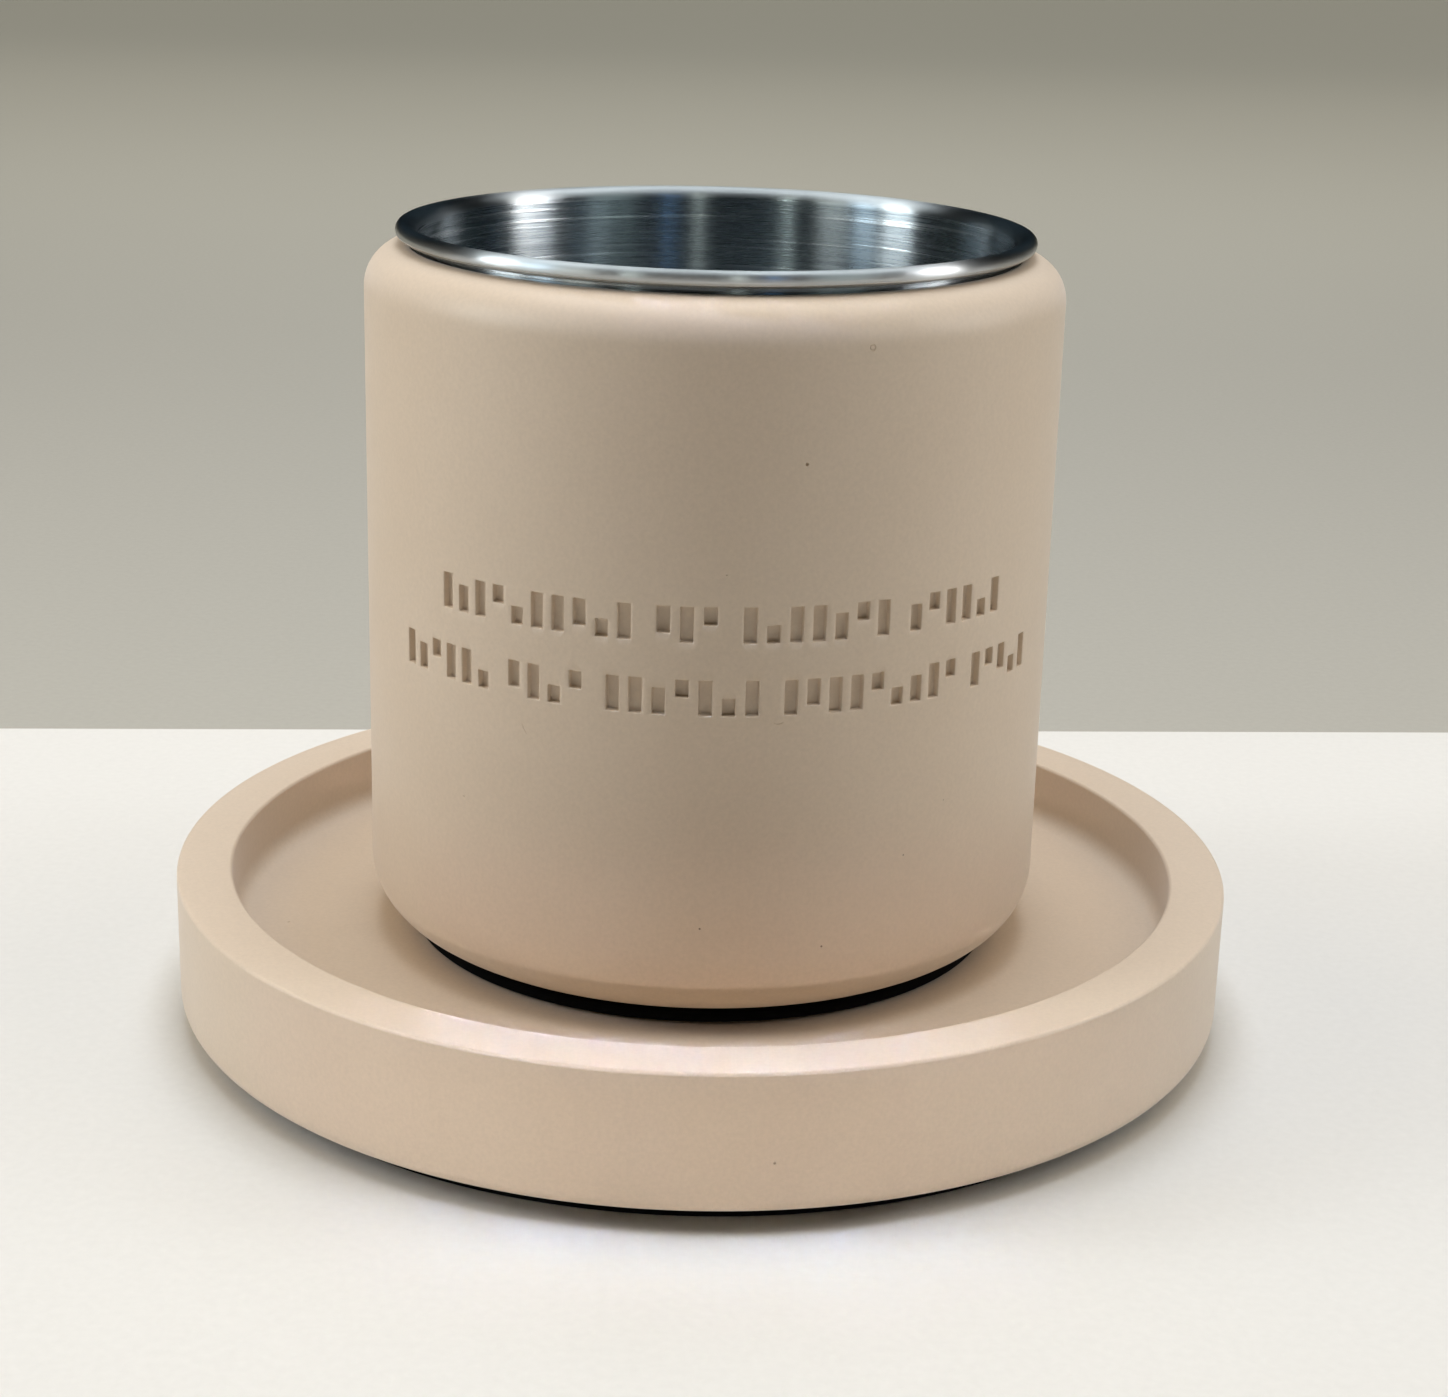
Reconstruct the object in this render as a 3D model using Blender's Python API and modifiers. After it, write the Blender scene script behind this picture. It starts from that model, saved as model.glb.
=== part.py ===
"""A kiddush cup on its saucer: a cast cup with a steel liner, each cast piece on a black foot pad.

The origin is the centre of the saucer pad's underside, +Z is up and the inscription faces -Y.
"""
import math

import bmesh
import bpy
from mathutils import Matrix

# Saucer, cast
SAUCER_DIAMETER = 0.1200
SAUCER_HEIGHT = 0.0152
SAUCER_FLOOR = 0.0080
SAUCER_WALL = 0.0062
SAUCER_EDGE_ROUND = 0.0004
SAUCER_FOOT_ROUND = 0.0015
SAUCER_INNER_ROUND = 0.0020

# Cup body, cast
CUP_DIAMETER = 0.0760
CUP_HEIGHT = 0.07535
CUP_WALL = 0.0047
CUP_FLOOR = 0.0075
CUP_SHOULDER_ROUND = 0.0045
CUP_FOOT_ROUND = 0.0065
CUP_CAVITY_ROUND = 0.0060

# Steel liner: it stands on the cavity's floor, and its rolled lip ends just above the cup's mouth
LINER_THICKNESS = 0.0006
LINER_CLEARANCE = 0.0004
LIP_HEIGHT = 0.0017
LIP_WIDTH = 0.0023
LIP_GAP = 0.00065

# Foot pads
SAUCER_PAD_THICKNESS = 0.0019
SAUCER_PAD_INSET = 0.0040
CUP_PAD_THICKNESS = 0.0011
CUP_PAD_INSET = 0.0047

# Room left between pieces that lie on each other
SEAT_GAP = 0.0003

# Inscription: in each row a space parts two groups, and each other sign is one place
INSCRIPTION_ROWS = (
    "|i|'.||!.| !|' |.||i'| i'||.|",
    "|i'||. !|.' ||i'|.| |!||'.i|' |'!.|",
)
STROKE_SPANS = {"|": (0.0, 1.0), "'": (0.5, 1.0), ".": (0.0, 0.5), "i": (0.0, 0.75), "!": (0.25, 1.0)}
INSCRIPTION_DROP = 0.03195
INSCRIPTION_PITCH = 0.00755
INSCRIPTION_TURN = math.radians(3.5)
STROKE_HEIGHT = 0.0037
STROKE_WIDTH = 0.00135
STROKE_PITCH = 0.00235
STROKE_DEPTH = 0.0007
GROUP_GAP = 0.0026

# Facets
CUP_STEPS = 60
LINER_STEPS = 48
SAUCER_STEPS = 64
QUARTER_PIECES = 5
EDGE_PIECES = 2
BEAD_PIECES = 8
SMOOTH_ANGLE = math.radians(35)
MERGE_DISTANCE = 0.00001

# Sizes that follow
saucer_radius = SAUCER_DIAMETER / 2
saucer_inner_radius = saucer_radius - SAUCER_WALL
saucer_pad_radius = saucer_radius - SAUCER_PAD_INSET
cup_radius = CUP_DIAMETER / 2
cavity_radius = cup_radius - CUP_WALL
cavity_round = min(CUP_CAVITY_ROUND, cavity_radius / 2)
cup_pad_radius = cup_radius - CUP_PAD_INSET
liner_radius = cavity_radius - LINER_CLEARANCE

# Heights at which the pieces stand
saucer_base = SAUCER_PAD_THICKNESS + SEAT_GAP
cup_pad_base = saucer_base + SAUCER_FLOOR + SEAT_GAP
cup_base = cup_pad_base + CUP_PAD_THICKNESS + SEAT_GAP
liner_base = cup_base + CUP_FLOOR + SEAT_GAP
liner_height = CUP_HEIGHT + LIP_GAP + LIP_HEIGHT - CUP_FLOOR - SEAT_GAP


def clear_scene():
    for obj in list(bpy.data.objects):
        bpy.data.objects.remove(obj, do_unlink=True)


def new_collection(name):
    collection = bpy.data.collections.new(name)
    bpy.context.scene.collection.children.link(collection)
    return collection


def linear(code):
    """The linear colour of an sRGB hex code such as 'D9C7B2'."""
    channels = []
    for start in (0, 2, 4):
        value = int(code[start:start + 2], 16) / 255
        channels.append(value / 12.92 if value <= 0.04045 else ((value + 0.055) / 1.055) ** 2.4)
    return (*channels, 1.0)


def surface(name, code, roughness, metallic=0.0):
    material = bpy.data.materials.new(name)
    material.use_nodes = True
    shader = material.node_tree.nodes["Principled BSDF"]
    shader.inputs["Base Color"].default_value = linear(code)
    shader.inputs["Roughness"].default_value = roughness
    shader.inputs["Metallic"].default_value = metallic
    return material


def arc(centre, radius, start, end, pieces):
    """Points on an arc in the radius-height plane, angles in degrees from straight outwards."""
    points = []
    for i in range(pieces + 1):
        angle = math.radians(start + (end - start) * i / pieces)
        points.append((centre[0] + radius * math.cos(angle), centre[1] + radius * math.sin(angle)))
    return points


def place(name, mesh, material, height, collection, parent):
    """Make an object of a mesh and stand it at a height on the common axis."""
    mesh.materials.append(material)
    obj = bpy.data.objects.new(name, mesh)
    obj.location = (0.0, 0.0, height)
    obj.parent = parent
    collection.objects.link(obj)
    return obj


def turned(name, profile, steps, material, height, collection, parent):
    """Turn a profile about Z: it starts on the axis, runs over the top and down the outside."""
    mesh = bpy.data.meshes.new(name)
    points = [(radius, 0.0, z) for radius, z in profile]
    mesh.from_pydata(points, [(i, i + 1) for i in range(len(points) - 1)], [])
    obj = place(name, mesh, material, height, collection, parent)
    screw = obj.modifiers.new("Turn", "SCREW")
    screw.axis = "Z"
    screw.angle = math.tau
    screw.steps = steps
    screw.render_steps = steps
    screw.use_merge_vertices = True
    screw.merge_threshold = MERGE_DISTANCE
    screw.use_smooth_shade = True
    return obj


def disc(name, radius, thickness, material, height, collection, parent):
    """A flat round pad with its underside at the object's origin."""
    mesh = bpy.data.meshes.new(name)
    shape = bmesh.new()
    bmesh.ops.create_cone(shape, cap_ends=True, segments=SAUCER_STEPS, radius1=radius, radius2=radius,
                          depth=thickness)
    bmesh.ops.translate(shape, vec=(0.0, 0.0, thickness / 2), verts=shape.verts)
    shape.to_mesh(mesh)
    shape.free()
    mesh.shade_smooth()
    mesh.set_sharp_from_angle(angle=SMOOTH_ANGLE)
    return place(name, mesh, material, height, collection, parent)


def saucer_profile():
    edge = min(SAUCER_EDGE_ROUND, SAUCER_WALL / 3)
    foot = min(SAUCER_FOOT_ROUND, SAUCER_HEIGHT / 3)
    inner = min(SAUCER_INNER_ROUND, (SAUCER_HEIGHT - SAUCER_FLOOR) / 2)
    points = [(0.0, SAUCER_FLOOR)]
    points += arc((saucer_inner_radius - inner, SAUCER_FLOOR + inner), inner, -90, 0, QUARTER_PIECES)
    points += arc((saucer_inner_radius + edge, SAUCER_HEIGHT - edge), edge, 180, 90, EDGE_PIECES)
    points += arc((saucer_radius - edge, SAUCER_HEIGHT - edge), edge, 90, 0, EDGE_PIECES)
    points += arc((saucer_radius - foot, foot), foot, 0, -90, EDGE_PIECES)
    points.append((0.0, 0.0))
    return points


def cup_profile():
    """The body: cavity floor, cavity wall, the shoulder from the mouth outwards, the foot."""
    shoulder = min(CUP_SHOULDER_ROUND, CUP_HEIGHT / 4)
    foot = min(CUP_FOOT_ROUND, CUP_HEIGHT / 4)
    across = cavity_radius - (cup_radius - shoulder)
    points = [(0.0, CUP_FLOOR)]
    points += arc((cavity_radius - cavity_round, CUP_FLOOR + cavity_round), cavity_round, -90, 0, QUARTER_PIECES)
    if across < 0.0:
        points.append((cavity_radius, CUP_HEIGHT))
    mouth = math.degrees(math.acos(max(0.0, across) / shoulder))
    points += arc((cup_radius - shoulder, CUP_HEIGHT - shoulder), shoulder, mouth, 0, QUARTER_PIECES)
    points += arc((cup_radius - foot, foot), foot, 0, -90, QUARTER_PIECES)
    points.append((0.0, 0.0))
    return points


def liner_profile():
    """The steel: inner floor, inner wall, the flare and bead of the lip, outer wall, bottom."""
    inner_radius = liner_radius - LINER_THICKNESS
    inner_round = cavity_round - LINER_THICKNESS
    bead = LIP_HEIGHT / 2
    flare = LIP_WIDTH - bead
    crest = inner_radius + flare
    closing = math.degrees(math.acos(min(1.0, (crest - liner_radius) / bead)))
    points = [(0.0, LINER_THICKNESS)]
    points += arc((inner_radius - inner_round, cavity_round), inner_round, -90, 0, QUARTER_PIECES)
    points += arc((crest, liner_height - flare), flare, 180, 90, QUARTER_PIECES)
    points += arc((crest, liner_height - bead), bead, 90, closing - 180, BEAD_PIECES)[1:]
    points.append((liner_radius, liner_height - bead - bead * math.sin(math.radians(closing))))
    points += arc((liner_radius - cavity_round, cavity_round), cavity_round, 0, -90, QUARTER_PIECES)
    points.append((0.0, 0.0))
    return points


def add_stroke(shape, angle, height, low, high):
    """A cutter block through the cup's face: its angle, its row's height, its ends as shares of a stroke."""
    made = bmesh.ops.create_cube(shape, size=1.0)["verts"]
    bmesh.ops.scale(shape, vec=(STROKE_WIDTH, 2 * STROKE_DEPTH, (high - low) * STROKE_HEIGHT), verts=made)
    bmesh.ops.translate(shape, vec=(0.0, 0.0, (low + high) / 2 * STROKE_HEIGHT), verts=made)
    bmesh.ops.translate(shape, vec=(0.0, -cup_radius, height), verts=made)
    bmesh.ops.transform(shape, matrix=Matrix.Rotation(angle, 4, "Z"), verts=made)


def add_row(shape, signs, height):
    """One row of strokes, its places set out along the cup's wall and centred on the turn."""
    space = GROUP_GAP + STROKE_WIDTH - STROKE_PITCH
    steps = [space if sign == " " else STROKE_PITCH for sign in signs]
    along = (STROKE_PITCH - sum(steps)) / 2
    for sign, step in zip(signs, steps):
        if sign != " ":
            low, high = STROKE_SPANS[sign]
            add_stroke(shape, INSCRIPTION_TURN + along / cup_radius, height, low - 0.5, high - 0.5)
        along += step


def inscription_cutter(collection, parent):
    mesh = bpy.data.meshes.new("inscription_cutter")
    shape = bmesh.new()
    for row, signs in enumerate(INSCRIPTION_ROWS):
        add_row(shape, signs, CUP_HEIGHT - INSCRIPTION_DROP - row * INSCRIPTION_PITCH)
    bmesh.ops.recalc_face_normals(shape, faces=shape.faces)
    shape.to_mesh(mesh)
    shape.free()
    cutter = bpy.data.objects.new("inscription_cutter", mesh)
    cutter.location = (0.0, 0.0, cup_base)
    cutter.parent = parent
    cutter.hide_render = True
    cutter.display_type = "WIRE"
    collection.objects.link(cutter)
    return cutter


def build():
    clear_scene()
    pieces = new_collection("kiddush_cup")
    cutters = new_collection("cutters")
    origin = bpy.data.objects.new("kiddush_cup", None)
    pieces.objects.link(origin)

    cast = surface("cast mineral", "CDBBA5", 0.62)
    steel = surface("brushed stainless steel", "B9BDC0", 0.3, metallic=1.0)
    pad = surface("black foam rubber", "101112", 0.85)

    disc("saucer_pad", saucer_pad_radius, SAUCER_PAD_THICKNESS, pad, 0.0, pieces, origin)
    turned("saucer", saucer_profile(), SAUCER_STEPS, cast, saucer_base, pieces, origin)
    disc("cup_pad", cup_pad_radius, CUP_PAD_THICKNESS, pad, cup_pad_base, pieces, origin)
    cup = turned("cup_body", cup_profile(), CUP_STEPS, cast, cup_base, pieces, origin)
    turned("steel_liner", liner_profile(), LINER_STEPS, steel, liner_base, pieces, origin)

    cut = cup.modifiers.new("Inscription", "BOOLEAN")
    cut.operation = "DIFFERENCE"
    cut.object = inscription_cutter(cutters, origin)


build()
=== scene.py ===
import math

import bmesh
import bpy
from mathutils import Matrix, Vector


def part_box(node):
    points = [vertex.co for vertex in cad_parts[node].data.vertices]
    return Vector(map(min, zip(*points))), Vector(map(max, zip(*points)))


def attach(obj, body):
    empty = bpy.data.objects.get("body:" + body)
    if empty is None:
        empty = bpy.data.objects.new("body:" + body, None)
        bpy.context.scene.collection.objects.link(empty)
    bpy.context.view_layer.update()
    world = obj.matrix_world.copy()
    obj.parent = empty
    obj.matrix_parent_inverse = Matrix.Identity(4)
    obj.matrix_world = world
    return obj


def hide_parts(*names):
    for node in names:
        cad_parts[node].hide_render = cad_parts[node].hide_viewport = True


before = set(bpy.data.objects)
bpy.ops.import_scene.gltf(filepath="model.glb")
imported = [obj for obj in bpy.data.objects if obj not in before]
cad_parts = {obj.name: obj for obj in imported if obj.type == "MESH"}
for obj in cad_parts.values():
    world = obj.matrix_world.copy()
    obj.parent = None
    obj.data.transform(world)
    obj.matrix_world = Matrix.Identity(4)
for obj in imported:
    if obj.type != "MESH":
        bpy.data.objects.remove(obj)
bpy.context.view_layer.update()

# Camera: it stands in front of the cup, just above the lip, and looks down a little.
# Its place, lens and slight roll are those at which the edges of cup and saucer fall as photographed.
CAMERA_DISTANCE = 0.2883
CAMERA_HEIGHT = 0.1277
CAMERA_TURN = math.radians(0.42)
CAMERA_TILT = math.radians(17.70)
CAMERA_ROLL = math.radians(1.51)
CAMERA_LENS = 65.75
SENSOR_WIDTH = 36.0

camera_data = bpy.data.cameras.new("camera")
camera_data.sensor_width = SENSOR_WIDTH
camera_data.lens = CAMERA_LENS
camera_data.clip_start = 0.01
camera = bpy.data.objects.new("camera", camera_data)
bpy.context.scene.collection.objects.link(camera)
camera.matrix_world = (
    Matrix.Translation((0.0, -CAMERA_DISTANCE, CAMERA_HEIGHT))
    @ Matrix.Rotation(-CAMERA_TURN, 4, "Z")
    @ Matrix.Rotation(math.pi / 2 - CAMERA_TILT, 4, "X")
    @ Matrix.Rotation(CAMERA_ROLL, 4, "Z")
)
bpy.context.scene.camera = camera


# Saucer: a low tray cast in one piece from a mineral resin, with a flat floor and an upright wall.
# It comes from a smooth mould, and its arrises are only just softened by hand.
SAUCER_WALL = 0.0062
SAUCER_FLOOR = 0.0080
SAUCER_EDGE_ROUND = 0.0004
SAUCER_FOOT_ROUND = 0.0015
SAUCER_INNER_ROUND = 0.0020
SAUCER_SIDES = 288
SAUCER_WALL_ROWS = 8
POLE_RADIUS = 0.002
SAME_PLACE = 0.00001


def arc(radius, height, bend, start, end, pieces):
    """Outline points on an arc: its centre, its radius, and degrees from straight outwards."""
    points = []
    for i in range(pieces + 1):
        angle = math.radians(start + (end - start) * i / pieces)
        points.append((radius + bend * math.cos(angle), height + bend * math.sin(angle)))
    return points


def turn_on_lathe(name, outline, sides):
    """Pull a circle's edge through an outline, ring by ring, and close both ends on the axis."""
    bpy.ops.object.select_all(action="DESELECT")
    radius, height = outline[0]
    bpy.ops.mesh.primitive_circle_add(vertices=sides, radius=radius, location=(0.0, 0.0, height))
    piece = bpy.context.object
    piece.name = name
    piece.data.name = name
    bpy.ops.object.transform_apply(location=True, rotation=True, scale=True)
    bpy.ops.object.mode_set(mode="EDIT")
    bpy.ops.mesh.select_mode(type="VERT")
    bpy.ops.mesh.select_all(action="SELECT")
    for next_radius, next_height in outline[1:]:
        rise = (0.0, 0.0, next_height - height)
        bpy.ops.mesh.extrude_region_move(TRANSFORM_OT_translate={"value": rise})
        grow = next_radius / radius
        bpy.ops.transform.resize(value=(grow, grow, 1.0), center_override=(0.0, 0.0, 0.0))
        radius, height = next_radius, next_height
    for end_radius, end_height in (outline[-1], outline[0]):
        bpy.ops.mesh.select_all(action="DESELECT")
        mesh = bmesh.from_edit_mesh(piece.data)
        for vertex in mesh.verts:
            near = abs(vertex.co.z - end_height) < SAME_PLACE
            vertex.select = near and abs(vertex.co.xy.length - end_radius) < SAME_PLACE
        mesh.select_flush_mode()
        bmesh.update_edit_mesh(piece.data)
        bpy.ops.mesh.merge(type="CENTER")
    bpy.ops.mesh.select_all(action="SELECT")
    bpy.ops.mesh.normals_make_consistent(inside=False)
    bpy.ops.object.mode_set(mode="OBJECT")
    return piece


def rows(radius, start, end, count):
    """Outline points up or down an upright wall, without its two ends."""
    return [(radius, start + (end - start) * i / count) for i in range(1, count)]


def set_in_wall(tool, radius, degrees, height):
    """Move a tool made with the wall's face at Y = 0 to its place round an upright wall."""
    tool.data.transform(
        Matrix.Rotation(math.radians(degrees), 4, "Z") @ Matrix.Translation((0.0, -radius, height)))
    return tool


def bubble(radius, depth):
    """The ball that leaves a pinhole of a radius and depth in a face at Y = 0, with the solid behind it."""
    ball = (radius ** 2 + depth ** 2) / (2 * depth)
    bpy.ops.object.select_all(action="DESELECT")
    bpy.ops.mesh.primitive_ico_sphere_add(subdivisions=3, radius=ball, location=(0.0, depth - ball, 0.0))
    bpy.ops.object.transform_apply(location=True, rotation=True, scale=True)
    return bpy.context.object


def cut_out(piece, tools):
    """Cut all the tools out of a piece, and clear them away."""
    bpy.ops.object.select_all(action="DESELECT")
    for tool in tools:
        tool.select_set(True)
    bpy.context.view_layer.objects.active = tools[0]
    bpy.ops.object.join()
    cutter = bpy.context.object
    cut = piece.modifiers.new("Cut", "BOOLEAN")
    cut.operation = "DIFFERENCE"
    cut.object = cutter
    bpy.context.view_layer.objects.active = piece
    bpy.ops.object.modifier_apply(modifier="Cut")
    bpy.data.objects.remove(cutter, do_unlink=True)


def shade(piece, degrees):
    """Shade a piece smooth, but for edges sharper than an angle."""
    bpy.ops.object.select_all(action="DESELECT")
    piece.select_set(True)
    bpy.context.view_layer.objects.active = piece
    bpy.ops.object.shade_smooth_by_angle(angle=math.radians(degrees))


def linear(code):
    """The linear colour of an sRGB hex code."""
    channels = []
    for start in (0, 2, 4):
        value = int(code[start:start + 2], 16) / 255
        channels.append(value / 12.92 if value <= 0.04045 else ((value + 0.055) / 1.055) ** 2.4)
    return (*channels, 1.0)


def add_node(material, kind, links=None, **settings):
    """Add a node: its settings by name, its inputs by number or name, as values or as (node, output)."""
    tree = material.node_tree
    node = tree.nodes.new(kind)
    for name, value in settings.items():
        setattr(node, name, value)
    for name, value in (links or {}).items():
        if isinstance(value, tuple) and isinstance(value[0], bpy.types.Node):
            tree.links.new(value[0].outputs[value[1]], node.inputs[name])
        else:
            node.inputs[name].default_value = value
    return node


def new_material(name):
    """A material and its shader."""
    material = bpy.data.materials.new(name)
    material.use_nodes = True
    return material, material.node_tree.nodes["Principled BSDF"]


# Cast mineral resin, sealed and sanded: an even warm beige, matt, with clouds a few centimetres
# wide, a fine grain, and here and there a pinhole where an air bubble met the mould. The pinholes
# are dented in by bump, and their insides are darkened with painted shade.
CLOUD_SIZE = 0.022
GRAIN_SIZE = 0.00045
RIPPLE_SIZE = 0.006
PORE_SPACING = 0.0042
PORE_RADIUS = 0.00007
PORE_FREE_SHARE = 0.985
CAST_DARK, CAST_LIGHT, PINHOLE_SHADE_TONE = "CDBAA3", "D5C3AD", "6E5C49"


def cast_mineral():
    material, shader = new_material("cast mineral resin, sealed matt")
    place = add_node(material, "ShaderNodeTexCoord")
    cloud = add_node(material, "ShaderNodeTexNoise", {
        "Vector": (place, "Object"), "Scale": 1 / CLOUD_SIZE, "Detail": 3.0, "Roughness": 0.55})
    grain = add_node(material, "ShaderNodeTexNoise", {
        "Vector": (place, "Object"), "Scale": 1 / GRAIN_SIZE, "Detail": 2.0, "Roughness": 0.6})
    ripple = add_node(material, "ShaderNodeTexNoise", {
        "Vector": (place, "Object"), "Scale": 1 / RIPPLE_SIZE, "Detail": 1.0})
    pore = add_node(material, "ShaderNodeTexVoronoi", {
        "Vector": (place, "Object"), "Scale": 1 / PORE_SPACING, "Randomness": 1.0})
    rare = add_node(material, "ShaderNodeSeparateColor", {"Color": (pore, "Color")})
    rare = add_node(material, "ShaderNodeMath", {0: (rare, "Red"), 1: PORE_FREE_SHARE},
                    operation="GREATER_THAN")
    hole = add_node(material, "ShaderNodeMapRange", {
        "Value": (pore, "Distance"), "From Min": PORE_RADIUS / PORE_SPACING,
        "From Max": 2.2 * PORE_RADIUS / PORE_SPACING, "To Min": 1.0, "To Max": 0.0})
    hole = add_node(material, "ShaderNodeMath", {0: (hole, "Result"), 1: (rare, 0)}, operation="MULTIPLY")
    tone = add_node(material, "ShaderNodeMix", {
        "Factor": (cloud, "Fac"), "A": linear(CAST_LIGHT), "B": linear(CAST_DARK)}, data_type="RGBA")
    speck = add_node(material, "ShaderNodeMapRange", {
        "Value": (grain, "Fac"), "From Min": 0.3, "From Max": 0.7, "To Min": 0.965, "To Max": 1.03})
    tone = add_node(material, "ShaderNodeVectorMath", {0: (tone, "Result"), "Scale": (speck, "Result")},
                    operation="SCALE")
    # Painted shade: the inside of each pinhole is darkened to the shade that falls in so small a hole.
    tone = add_node(material, "ShaderNodeMix", {
        "Factor": (hole, 0), "A": (tone, "Vector"), "B": linear(PINHOLE_SHADE_TONE)}, data_type="RGBA")
    gloss = add_node(material, "ShaderNodeMapRange", {
        "Value": (cloud, "Fac"), "From Min": 0.3, "From Max": 0.7, "To Min": 0.46, "To Max": 0.54})
    low = add_node(material, "ShaderNodeBump", {
        "Height": (ripple, "Fac"), "Strength": 0.35, "Distance": 0.00003})
    fine = add_node(material, "ShaderNodeBump", {
        "Height": (grain, "Fac"), "Strength": 0.35, "Distance": 0.00001, "Normal": (low, "Normal")})
    pit = add_node(material, "ShaderNodeBump", {
        "Height": (hole, 0), "Strength": 0.8, "Distance": 0.00005, "Normal": (fine, "Normal")}, invert=True)
    links = material.node_tree.links
    links.new(tone.outputs["Result"], shader.inputs["Base Color"])
    links.new(gloss.outputs["Result"], shader.inputs["Roughness"])
    links.new(pit.outputs["Normal"], shader.inputs["Normal"])
    shader.inputs["IOR"].default_value = 1.5
    shader.inputs["Specular IOR Level"].default_value = 0.5
    shader.inputs["Sheen Weight"].default_value = 0.25
    shader.inputs["Sheen Roughness"].default_value = 0.5
    return material


saucer_low, saucer_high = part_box("saucer")
saucer_radius = saucer_high[0]
saucer_bottom = saucer_low[2]
saucer_top = saucer_high[2]
saucer_inside = saucer_radius - SAUCER_WALL
saucer_floor = saucer_bottom + SAUCER_FLOOR

saucer_outline = [(POLE_RADIUS, saucer_bottom)]
saucer_outline += arc(saucer_radius - SAUCER_FOOT_ROUND, saucer_bottom + SAUCER_FOOT_ROUND,
                      SAUCER_FOOT_ROUND, -90, 0, 8)
saucer_outline += rows(saucer_radius, saucer_bottom + SAUCER_FOOT_ROUND,
                       saucer_top - SAUCER_EDGE_ROUND, SAUCER_WALL_ROWS)
saucer_outline += arc(saucer_radius - SAUCER_EDGE_ROUND, saucer_top - SAUCER_EDGE_ROUND,
                      SAUCER_EDGE_ROUND, 0, 90, 6)
saucer_outline += arc(saucer_inside + SAUCER_EDGE_ROUND, saucer_top - SAUCER_EDGE_ROUND,
                      SAUCER_EDGE_ROUND, 90, 180, 6)
saucer_outline += arc(saucer_inside - SAUCER_INNER_ROUND, saucer_floor + SAUCER_INNER_ROUND,
                      SAUCER_INNER_ROUND, 0, -90, 8)
saucer_outline.append((POLE_RADIUS, saucer_floor))

saucer = turn_on_lathe("cast_saucer", saucer_outline, SAUCER_SIDES)

# Two pinholes, each with a radius and a depth: one low on the front of its wall, at an angle and a
# height, and one in its floor at the left.
WALL_HOLE = (0.00016, 0.00016)
WALL_HOLE_DEGREES = 7.4
WALL_HOLE_HEIGHT = 0.0079
FLOOR_HOLE = (0.00020, 0.00012)
FLOOR_HOLE_X = -0.0470
FLOOR_HOLE_Y = -0.0081

wall_hole = set_in_wall(bubble(*WALL_HOLE), saucer_radius, WALL_HOLE_DEGREES, WALL_HOLE_HEIGHT)
floor_hole = bubble(*FLOOR_HOLE)
floor_hole.data.transform(
    Matrix.Translation((FLOOR_HOLE_X, FLOOR_HOLE_Y, saucer_floor)) @ Matrix.Rotation(-math.pi / 2, 4, "X"))
cut_out(saucer, [wall_hole, floor_hole])
cast_material = cast_mineral()
saucer.data.materials.append(cast_material)
shade(saucer, 35)
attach(saucer, "root")
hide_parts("saucer")


# Foot pads: two discs punched from black closed-cell foam rubber and glued on, the wide one
# under the saucer and a small one under the cup. Both are set in from the edge above them, and matt.
PAD_EDGE_ROUND = 0.00012
CELL_SIZE = 0.0003
DUST_SIZE = 8 * CELL_SIZE
FOAM_DARK, FOAM_LIGHT = "050505", "0B0B0C"


def foam_rubber():
    material, shader = new_material("black closed-cell foam rubber")
    place = add_node(material, "ShaderNodeTexCoord")
    cells = add_node(material, "ShaderNodeTexVoronoi", {
        "Vector": (place, "Object"), "Scale": 1 / CELL_SIZE})
    dust = add_node(material, "ShaderNodeTexNoise", {
        "Vector": (place, "Object"), "Scale": 1 / DUST_SIZE, "Detail": 3.0})
    tone = add_node(material, "ShaderNodeMix", {
        "Factor": (dust, "Fac"), "A": linear(FOAM_DARK), "B": linear(FOAM_LIGHT)}, data_type="RGBA")
    bump = add_node(material, "ShaderNodeBump", {
        "Height": (cells, "Distance"), "Strength": 0.5, "Distance": 0.00004})
    material.node_tree.links.new(tone.outputs["Result"], shader.inputs["Base Color"])
    material.node_tree.links.new(bump.outputs["Normal"], shader.inputs["Normal"])
    shader.inputs["Roughness"].default_value = 0.95
    shader.inputs["Specular IOR Level"].default_value = 0.05
    return material


foam_material = foam_rubber()
for node in ("saucer_pad", "cup_pad"):
    low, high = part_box(node)
    round_in = high[0] - PAD_EDGE_ROUND
    pad_outline = [(POLE_RADIUS, low[2])]
    pad_outline += arc(round_in, low[2] + PAD_EDGE_ROUND, PAD_EDGE_ROUND, -90, 0, 3)
    pad_outline += arc(round_in, high[2] - PAD_EDGE_ROUND, PAD_EDGE_ROUND, 0, 90, 3)
    pad_outline.append((POLE_RADIUS, high[2]))
    pad = turn_on_lathe("foam_" + node, pad_outline, SAUCER_SIDES)
    pad.data.materials.append(foam_material)
    shade(pad, 35)
    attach(pad, "root")
    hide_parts(node)


# Cup: a straight round sleeve of the same casting, closed below, with a full round to its shoulder
# and a larger one to its foot. Two rows of shallow strokes are cast into its front.
CUP_WALL = 0.0047
CUP_FLOOR = 0.0075
SHOULDER_ROUND = 0.0045
FOOT_ROUND = 0.0065
CAVITY_ROUND = 0.0060
CUP_SIDES = 360
CUP_WALL_ROWS = 66

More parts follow.
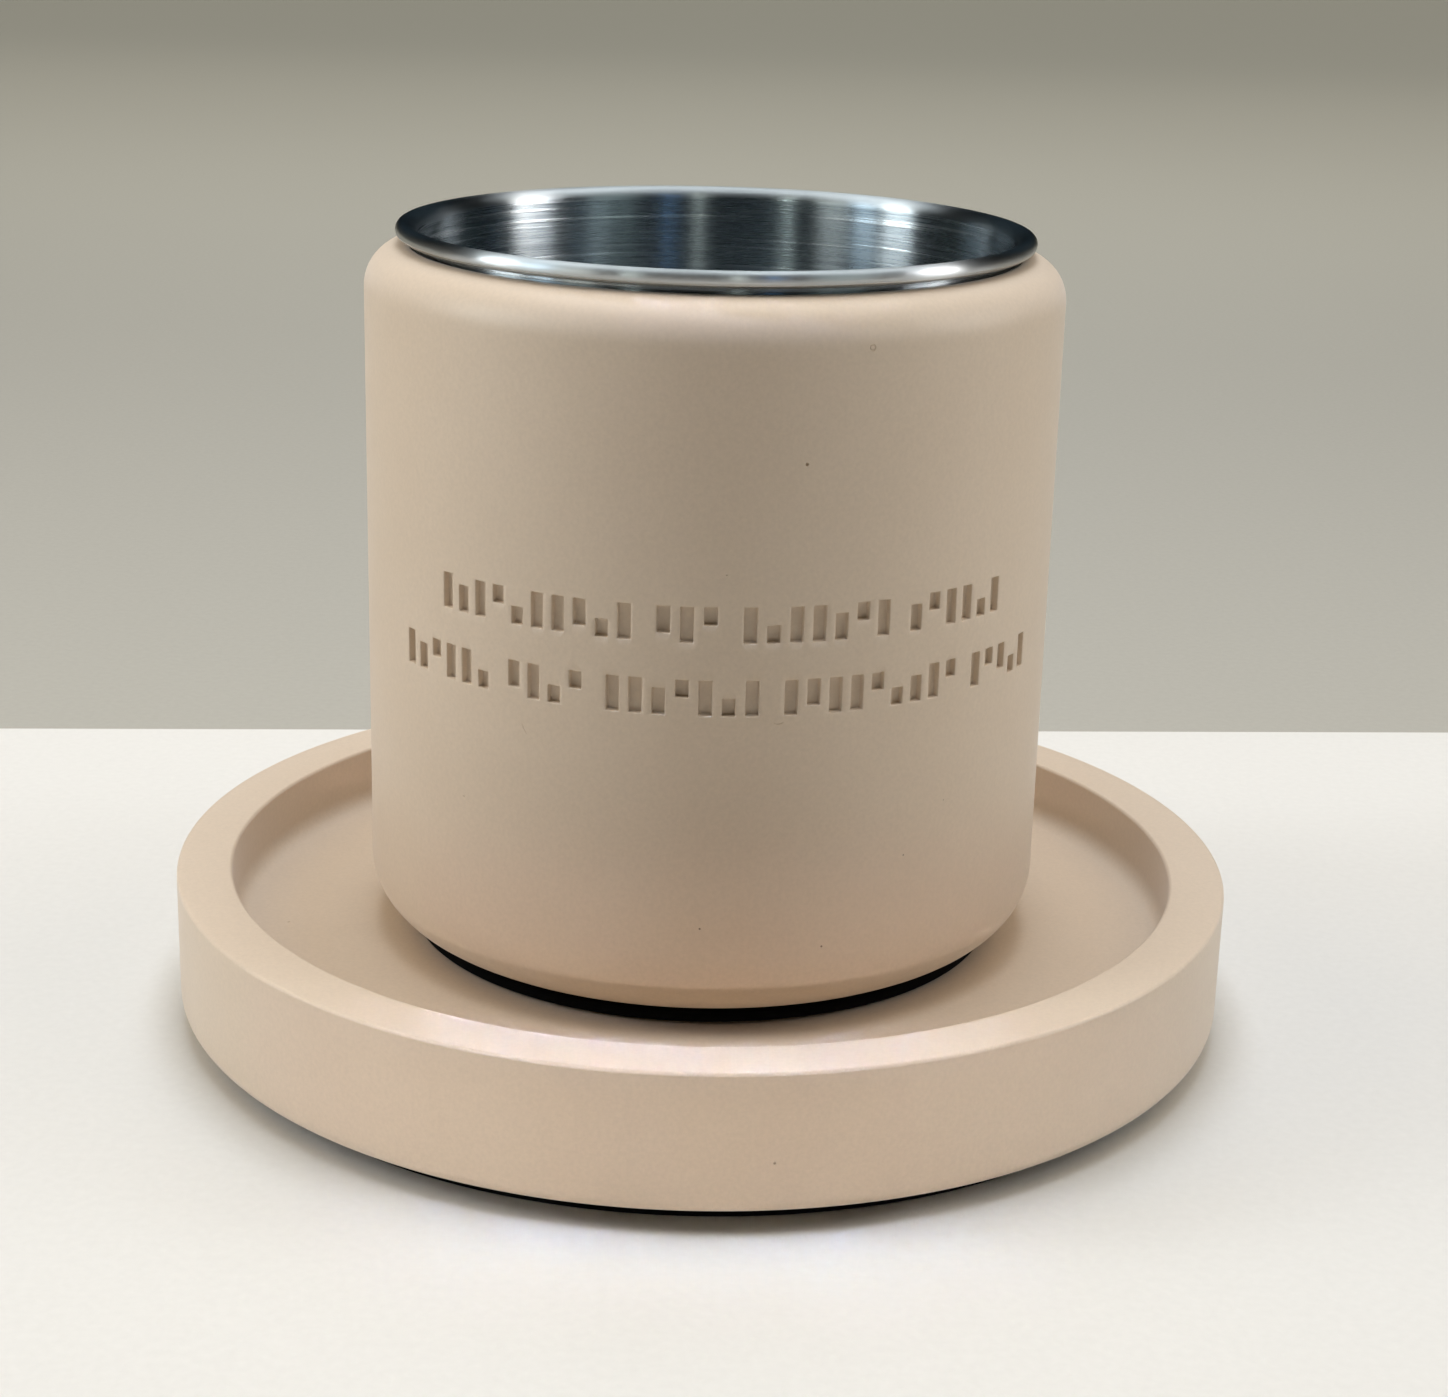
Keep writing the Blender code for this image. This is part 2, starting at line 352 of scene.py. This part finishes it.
# The strokes: in a row a space parts two groups, and each other sign is one place.
STROKE_ROWS = (
    "|i|'.||!.| !|' |.||i'| i'||.|",
    "|i'||. !|.' ||i'|.| |!||'.i|' |'!.|",
)
STROKE_SPANS = {
    "|": (0.0, 1.0), "'": (0.5, 1.0), ".": (0.0, 0.5), "i": (0.0, 0.75), "!": (0.25, 1.0)}
ROW_DROP = 0.03195
ROW_PITCH = 0.00755
ROW_TURN = math.radians(3.5)
STROKE_HEIGHT = 0.0037
STROKE_WIDTH = 0.00135
STROKE_PITCH = 0.00235
STROKE_DEPTH = 0.0007
STROKE_CORNER = 0.00012
STROKE_LIP = 0.00010
LIP_DEGREES = (25, 50, 72)
GROUP_GAP = 0.0026

cup_low, cup_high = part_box("cup_body")
cup_radius = cup_high[0]
cup_bottom = cup_low[2]
cup_top = cup_high[2]
cavity_radius = cup_radius - CUP_WALL
shoulder_radius = cup_radius - SHOULDER_ROUND
row_height = cup_top - ROW_DROP

cup_outline = [(POLE_RADIUS, cup_bottom)]
cup_outline += arc(cup_radius - FOOT_ROUND, cup_bottom + FOOT_ROUND, FOOT_ROUND, -90, 0, 14)
cup_outline += rows(cup_radius, cup_bottom + FOOT_ROUND, cup_top - SHOULDER_ROUND, CUP_WALL_ROWS)
cup_outline += arc(shoulder_radius, cup_top - SHOULDER_ROUND, SHOULDER_ROUND, 0, 90, 14)
cup_outline.append((cavity_radius, cup_top))
cup_outline += arc(cavity_radius - CAVITY_ROUND, cup_bottom + CUP_FLOOR + CAVITY_ROUND,
                   CAVITY_ROUND, 0, -90, 8)
cup_outline.append((POLE_RADIUS, cup_bottom + CUP_FLOOR))
cup = turn_on_lathe("cast_cup", cup_outline, CUP_SIDES)


def spread_out(width, height, grown, next_grown):
    """Widen the selected end of a bar, on all four sides, from one overhang to the next."""
    wider = (width + 2 * next_grown) / (width + 2 * grown)
    taller = (height + 2 * next_grown) / (height + 2 * grown)
    bpy.ops.transform.resize(value=(wider, 1.0, taller), center_override=(0.0, 0.0, 0.0))


def stroke_tool(name, width, height):
    """The plug that one stroke is cast round: a bar with soft corners, flared where it meets the face.

    It stands on the origin with its length along Z; the face is at Y = 0 and the bar ends inside.
    """
    bpy.ops.object.select_all(action="DESELECT")
    bpy.ops.mesh.primitive_cube_add(size=1.0, location=(0.0, (STROKE_DEPTH + STROKE_LIP) / 2, 0.0))
    tool = bpy.context.object
    tool.name = name
    tool.scale = (width, STROKE_DEPTH - STROKE_LIP, height)
    bpy.ops.object.transform_apply(location=True, rotation=True, scale=True)
    bpy.ops.object.mode_set(mode="EDIT")
    bpy.ops.mesh.select_mode(type="EDGE")
    mesh = bmesh.from_edit_mesh(tool.data)
    for edge in mesh.edges:
        edge.select = abs(edge.verts[0].co.y - edge.verts[1].co.y) > STROKE_LIP
    bmesh.update_edit_mesh(tool.data)
    bpy.ops.mesh.bevel(offset=STROKE_CORNER, segments=2)
    bpy.ops.mesh.select_mode(type="FACE")
    mesh = bmesh.from_edit_mesh(tool.data)
    for face in mesh.faces:
        face.select = face.normal.y > 0.9
    bmesh.update_edit_mesh(tool.data)
    bpy.ops.mesh.bevel(offset=STROKE_LIP, segments=2)
    mesh = bmesh.from_edit_mesh(tool.data)
    for face in mesh.faces:
        face.select = face.normal.y < -0.9
    bmesh.update_edit_mesh(tool.data)
    reach, grown = STROKE_LIP, 0.0
    for degrees in LIP_DEGREES:
        next_reach = STROKE_LIP * (1 - math.sin(math.radians(degrees)))
        next_grown = STROKE_LIP * (1 - math.cos(math.radians(degrees)))
        bpy.ops.mesh.extrude_region_move(TRANSFORM_OT_translate={"value": (0.0, next_reach - reach, 0.0)})
        spread_out(width, height, grown, next_grown)
        reach, grown = next_reach, next_grown
    bpy.ops.mesh.extrude_region_move(TRANSFORM_OT_translate={"value": (0.0, -STROKE_LIP / 3, 0.0)})
    last = grown + STROKE_LIP * math.cos(math.radians(90 - LIP_DEGREES[-1]))
    spread_out(width, height, grown, last)
    bpy.ops.object.mode_set(mode="OBJECT")
    return tool


def copy_of(tool):
    """A copy of a tool, with its own mesh."""
    copy = tool.copy()
    copy.data = tool.data.copy()
    bpy.context.scene.collection.objects.link(copy)
    return copy


stroke_tools = {
    share: stroke_tool("stroke_plug", STROKE_WIDTH, share * STROKE_HEIGHT) for share in (1.0, 0.75, 0.5)}
cup_tools = []
for row, signs in enumerate(STROKE_ROWS):
    space = GROUP_GAP + STROKE_WIDTH - STROKE_PITCH
    steps = [space if sign == " " else STROKE_PITCH for sign in signs]
    along = (STROKE_PITCH - sum(steps)) / 2
    for sign, step in zip(signs, steps):
        if sign != " ":
            low, high = STROKE_SPANS[sign]
            middle = row_height - row * ROW_PITCH + ((low + high) / 2 - 0.5) * STROKE_HEIGHT
            angle = math.degrees(ROW_TURN + along / cup_radius)
            cup_tools.append(set_in_wall(copy_of(stroke_tools[high - low]), cup_radius, angle, middle))
        along += step
for tool in stroke_tools.values():
    bpy.data.objects.remove(tool, do_unlink=True)

# Pinholes: an angle round the cup, a height above the table, a radius and a depth.
PINHOLES = (
    (14.2, 0.0715, 0.00017, 0.00022), (2.7, 0.0605, 0.00010, 0.00010), (-41.0, 0.0335, 0.00010, 0.00010),
    (118.0, 0.0640, 0.00017, 0.00018), (-152.0, 0.0450, 0.00014, 0.00014),
)
for degrees, height, radius, depth in PINHOLES:
    cup_tools.append(set_in_wall(bubble(radius, depth), cup_radius, degrees, height))

# A burst bubble near the shoulder has left only its ring.
RING_RADIUS = 0.00028
RING_GROOVE = 0.00009
RING_DEGREES = 23.8
RING_HEIGHT = 0.0827
bpy.ops.object.select_all(action="DESELECT")
bpy.ops.mesh.primitive_torus_add(major_radius=RING_RADIUS, minor_radius=RING_GROOVE, major_segments=32,
                                 minor_segments=10, rotation=(math.pi / 2, 0.0, 0.0))
bpy.ops.object.transform_apply(location=True, rotation=True, scale=True)
cup_tools.append(set_in_wall(bpy.context.object, cup_radius, RING_DEGREES, RING_HEIGHT))

# Hairlines below the strokes: an angle and a height, a length, a lean from level, and how far the
# ends are raised.
HAIRLINES = ((-28.9, 0.04255, 0.0015, -60.0, 0.00008), (11.2, 0.04505, 0.0012, 4.0, 0.00022))
HAIRLINE_WIDTH = 0.00009
HAIRLINE_DEPTH = 0.00006
for degrees, height, length, lean, bow in HAIRLINES:
    bpy.ops.object.select_all(action="DESELECT")
    bpy.ops.mesh.primitive_uv_sphere_add(
        segments=12, ring_count=24, radius=1.0, rotation=(0.0, math.pi / 2, 0.0))
    hairline = bpy.context.object
    bpy.ops.object.transform_apply(location=True, rotation=True, scale=True)
    hairline.scale = (length / 2, HAIRLINE_DEPTH, HAIRLINE_WIDTH / 2)
    bpy.ops.object.transform_apply(location=True, rotation=True, scale=True)
    for vertex in hairline.data.vertices:
        vertex.co.z += bow * (2 * vertex.co.x / length) ** 2
    hairline.data.transform(Matrix.Rotation(math.radians(-lean), 4, "Y"))
    cup_tools.append(set_in_wall(hairline, cup_radius, degrees, height))
cut_out(cup, cup_tools)

cup.data.materials.append(cast_material)
shade(cup, 50)
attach(cup, "root")
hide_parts("cup_body")


# Liner: a drawn cup of thin stainless steel that stands on the cavity's floor. Its rim is rolled
# outwards to a bead just above the casting. Inside it is brushed round and round, and the rolling
# has left the bead a little paler and softer.
LINER_THICKNESS = 0.0006
LINER_CLEARANCE = 0.0004
LIP_HEIGHT = 0.0017
LIP_WIDTH = 0.0023
LINER_SIDES = 288
LINER_WALL_ROWS = 12
BRUSH_SPACING = 0.00022
BRUSH_LENGTH = 0.012
SCRATCH_SPACING = 0.0006
SCRATCH_LENGTH = 0.030
ROLLED_DEPTH = 0.0014
STEEL_DARK, STEEL_LIGHT = "7C858A", "CBD1D5"
SCRATCH_TONE, ROLLED_TONE = "E2E6E8", "D9DCDD"


def brushed_steel(top):
    """Steel brushed round the Z axis, and paler and softer near its top, where it is rolled."""
    material, shader = new_material("stainless steel, brushed round its axis")
    place = add_node(material, "ShaderNodeTexCoord")
    part = add_node(material, "ShaderNodeSeparateXYZ", {"Vector": (place, "Object")})
    flat = add_node(material, "ShaderNodeCombineXYZ", {"X": (part, "X"), "Y": (part, "Y")})
    radius = add_node(material, "ShaderNodeVectorMath", {0: (flat, 0)}, operation="LENGTH")
    along = add_node(material, "ShaderNodeMath", {0: (radius, "Value"), 1: (part, "Z")}, operation="ADD")
    strands = []
    for spacing, length, detail in (
            (BRUSH_SPACING, BRUSH_LENGTH, 3.0), (SCRATCH_SPACING, SCRATCH_LENGTH, 1.0)):
        across = add_node(material, "ShaderNodeMath", {0: (along, 0), 1: length / spacing},
                          operation="MULTIPLY")
        strand = add_node(material, "ShaderNodeCombineXYZ", {
            "X": (part, "X"), "Y": (part, "Y"), "Z": (across, 0)})
        strands.append(add_node(material, "ShaderNodeTexNoise", {
            "Vector": (strand, 0), "Scale": 1 / length, "Detail": detail, "Roughness": 0.65}))
    lines, scratches = strands
    scratch = add_node(material, "ShaderNodeMapRange", {
        "Value": (scratches, "Fac"), "From Min": 0.60, "From Max": 0.70, "To Min": 0.0, "To Max": 1.0})
    tone = add_node(material, "ShaderNodeMix", {
        "Factor": (lines, "Fac"), "A": linear(STEEL_DARK), "B": linear(STEEL_LIGHT)}, data_type="RGBA")
    tone = add_node(material, "ShaderNodeMix", {
        "Factor": (scratch, "Result"), "A": (tone, "Result"), "B": linear(SCRATCH_TONE)}, data_type="RGBA")
    rolled = add_node(material, "ShaderNodeMapRange", {
        "Value": (part, "Z"), "From Min": top - ROLLED_DEPTH, "From Max": top - ROLLED_DEPTH / 2})
    tone = add_node(material, "ShaderNodeMix", {
        "Factor": (rolled, "Result"), "A": (tone, "Result"), "B": linear(ROLLED_TONE)}, data_type="RGBA")
    gloss = add_node(material, "ShaderNodeMapRange", {
        "Value": (lines, "Fac"), "From Min": 0.3, "From Max": 0.7, "To Min": 0.23, "To Max": 0.31})
    softer = add_node(material, "ShaderNodeMapRange", {
        "Value": (rolled, "Result"), "To Min": 1.0, "To Max": 1.3})
    gloss = add_node(material, "ShaderNodeMath", {0: (gloss, "Result"), 1: (softer, "Result")},
                     operation="MULTIPLY")
    fine = add_node(material, "ShaderNodeBump", {
        "Height": (lines, "Fac"), "Strength": 0.7, "Distance": 0.00002})
    bump = add_node(material, "ShaderNodeBump", {
        "Height": (scratch, "Result"), "Strength": 0.6, "Distance": 0.00002, "Normal": (fine, "Normal")})
    tangent = add_node(material, "ShaderNodeTangent", direction_type="RADIAL", axis="Z")
    links = material.node_tree.links
    links.new(tone.outputs["Result"], shader.inputs["Base Color"])
    links.new(gloss.outputs["Value"], shader.inputs["Roughness"])
    links.new(bump.outputs["Normal"], shader.inputs["Normal"])
    links.new(tangent.outputs["Tangent"], shader.inputs["Tangent"])
    shader.inputs["Metallic"].default_value = 1.0
    shader.inputs["Anisotropic"].default_value = 1.0
    shader.inputs["Anisotropic Rotation"].default_value = 0.25
    return material


liner_low, liner_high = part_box("steel_liner")
liner_bottom = liner_low[2]
liner_top = liner_high[2]
liner_outer = cavity_radius - LINER_CLEARANCE
liner_inner = liner_outer - LINER_THICKNESS
inner_round = CAVITY_ROUND - LINER_THICKNESS
wall_low = liner_bottom + CAVITY_ROUND
bead = LIP_HEIGHT / 2
flare = LIP_WIDTH - bead
crest = liner_inner + flare
closing = math.degrees(math.acos(min(1.0, (crest - liner_outer) / bead)))

liner_outline = [(POLE_RADIUS, liner_bottom)]
liner_outline += arc(liner_outer - CAVITY_ROUND, wall_low, CAVITY_ROUND, -90, 0, 8)
liner_outline += arc(crest, liner_top - bead, bead, closing - 180, 90, 30)
liner_outline += arc(crest, liner_top - flare, flare, 90, 180, 12)[1:]
liner_outline += rows(liner_inner, liner_top - flare, wall_low, LINER_WALL_ROWS)
liner_outline += arc(liner_inner - inner_round, wall_low, inner_round, 0, -90, 10)
liner_outline.append((POLE_RADIUS, liner_bottom + LINER_THICKNESS))
liner = turn_on_lathe("brushed_liner", liner_outline, LINER_SIDES)
liner.data.materials.append(brushed_steel(liner_top))
shade(liner, 40)
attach(liner, "root")
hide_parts("steel_liner")


# Studio: a plain pale board to stand on, laid edge to edge with a plain grey one behind it.
# Both are matt, with a very fine paper tooth.
BOARD_REACH = 3.0
SEAM_DISTANCE = 0.0953
SEAM_TURN = math.radians(3.85)
TOOTH_SIZE = 1 / 900


def matt_board(name, dark, light):
    """Card of one tone, with its paper tooth."""
    material, shader = new_material(name)
    place = add_node(material, "ShaderNodeTexCoord")
    tooth = add_node(material, "ShaderNodeTexNoise", {
        "Vector": (place, "Object"), "Scale": 1 / TOOTH_SIZE, "Detail": 3.0})
    tone = add_node(material, "ShaderNodeMix", {
        "Factor": (tooth, "Fac"), "A": linear(dark), "B": linear(light)}, data_type="RGBA")
    bump = add_node(material, "ShaderNodeBump", {
        "Height": (tooth, "Fac"), "Strength": 0.15, "Distance": 0.0001})
    material.node_tree.links.new(tone.outputs["Result"], shader.inputs["Base Color"])
    material.node_tree.links.new(bump.outputs["Normal"], shader.inputs["Normal"])
    shader.inputs["Roughness"].default_value = 0.9
    shader.inputs["Specular IOR Level"].default_value = 0.1
    return material


for name, near, far, dark, light in (
        ("pale_board", -BOARD_REACH, SEAM_DISTANCE, "D4D3CE", "DCDBD6"),
        ("grey_board", SEAM_DISTANCE, BOARD_REACH, "A4A299", "ACAAA1")):
    bpy.ops.object.select_all(action="DESELECT")
    bpy.ops.mesh.primitive_plane_add(size=1.0, location=(0.0, (near + far) / 2, 0.0))
    board = bpy.context.object
    board.name = name
    board.scale = (2 * BOARD_REACH, far - near, 1.0)
    bpy.ops.object.transform_apply(location=True, rotation=True, scale=True)
    board.data.transform(Matrix.Rotation(SEAM_TURN, 4, "Z"))
    board.data.materials.append(matt_board(name.replace("_", " "), dark, light))


# Light: soft boxes on both sides, high and low, one overhead and one behind, with little at the front,
# so that the cup's middle falls into soft shade and its sides, shoulder and rims catch light.
ROOM_MIDDLE = (0.0, 0.0, 0.05)


def soft_box(name, azimuth, elevation, distance, size, power, colour, aim=ROOM_MIDDLE, spread=180):
    """A lamp at an azimuth from the camera's side, positive to the right, and an elevation from its aim."""
    lamp = bpy.data.lights.new(name, "AREA")
    lamp.shape = "RECTANGLE"
    lamp.size, lamp.size_y = size
    lamp.energy = power
    lamp.color = linear(colour)[:3]
    lamp.spread = math.radians(spread)
    box = bpy.data.objects.new(name, lamp)
    bpy.context.scene.collection.objects.link(box)
    turn = Matrix.Rotation(math.radians(azimuth), 4, "Z")
    turn = turn @ Matrix.Rotation(math.radians(90 - elevation), 4, "X")
    box.matrix_world = Matrix.Translation(aim) @ turn @ Matrix.Translation((0.0, 0.0, distance))
    box.visible_camera = False
    return box


# Each has a name, an azimuth, an elevation, a distance, a size, a power and a colour. Three of them
# are narrow and have an aim and a spread of their own: two light the saucer's front, and one the far
# board. The steel reflects none of them.
SOFT_BOXES = (
    ("soft_box_top", 180.0, 86.0, 0.75, (0.35, 0.70), 5.6, "E2EAF6"),
    ("soft_box_left_high", -90.0, 50.0, 0.60, (0.50, 0.40), 1.3, "FFE8C2"),
    ("soft_box_left_low", -84.0, 20.0, 0.60, (0.15, 0.30), 1.6, "E2E9F2"),
    ("soft_box_right_high", 88.0, 52.0, 0.60, (0.50, 0.40), 1.45, "FFEDD6"),
    ("soft_box_right_low", 88.0, 20.0, 0.60, (0.16, 0.30), 0.80, "E0ECF6"),
    ("soft_box_back", 180.0, 32.0, 1.30, (2.00, 0.90), 1.9, "FFF5E8"),
    ("soft_box_rim", 0.0, 90.0, 0.50, (0.05, 0.02), 0.0038, "B4CCFF",
     (0.0, -0.050, 0.0), 4),
    ("soft_box_low", 0.0, 6.0, 0.30, (0.10, 0.006), 0.0029, "FFF4EE",
     (0.0, -0.060, 0.009), 10),
    ("far_light", 0.0, 90.0, 0.60, (2.4, 2.5), 12.6, "FFFDF4",
     (0.0, 1.75, 0.0), 80),
)
for settings in SOFT_BOXES:
    soft_box(*settings).visible_glossy = False

# The steel mirrors strips of its own, which stand as windows and lamps do in a room: it shows them
# as upright bands and thin streaks in its far side, and the one overhead as a line along its lip.
STRIPS = (
    ("strip_over", 180.0, 75.0, 0.78, (1.10, 0.60), 4.0, "F2FBFF"),
    ("strip_back", 180.0, 20.0, 1.30, (2.00, 0.50), 0.10, "B8E4FF"),
    ("strip_far_left", -81.0, 20.0, 0.60, (0.15, 0.30), 1.0, "F4FDFF"),
    ("strip_left_blue", -64.5, 20.0, 0.60, (0.10, 0.30), 0.37, "DDF2FF"),
    ("strip_left_dim", -50.0, 20.0, 0.60, (0.14, 0.30), 0.19, "F2FAF4"),
    ("strip_left_thin", -30.0, 24.0, 0.70, (0.014, 0.34), 0.150, "EEFBF5"),
    ("strip_right_thin", 8.0, 24.0, 0.70, (0.010, 0.34), 0.120, "EEF8F0"),
    ("strip_right_blue", 20.5, 24.0, 0.70, (0.018, 0.34), 0.060, "90C4FF"),
    ("strip_right_dim", 45.0, 20.0, 0.60, (0.20, 0.30), 0.110, "DCF6F6"),
    ("strip_right", 78.5, 20.0, 0.60, (0.095, 0.30), 0.45, "F8FAFC"),
    ("strip_far_right", 87.5, 20.0, 0.60, (0.09, 0.30), 0.8, "FFFDFB"),
)
for settings in STRIPS:
    soft_box(*settings).visible_diffuse = False

# A little light comes from all round, for the parts that no box reaches.
world = bpy.data.worlds.new("studio")
world.use_nodes = True
world.node_tree.nodes["Background"].inputs["Color"].default_value = linear("A8A69A")
world.node_tree.nodes["Background"].inputs["Strength"].default_value = 0.045
world.cycles_visibility.glossy = False
bpy.context.scene.world = world
bpy.context.scene.view_settings.view_transform = "Standard"
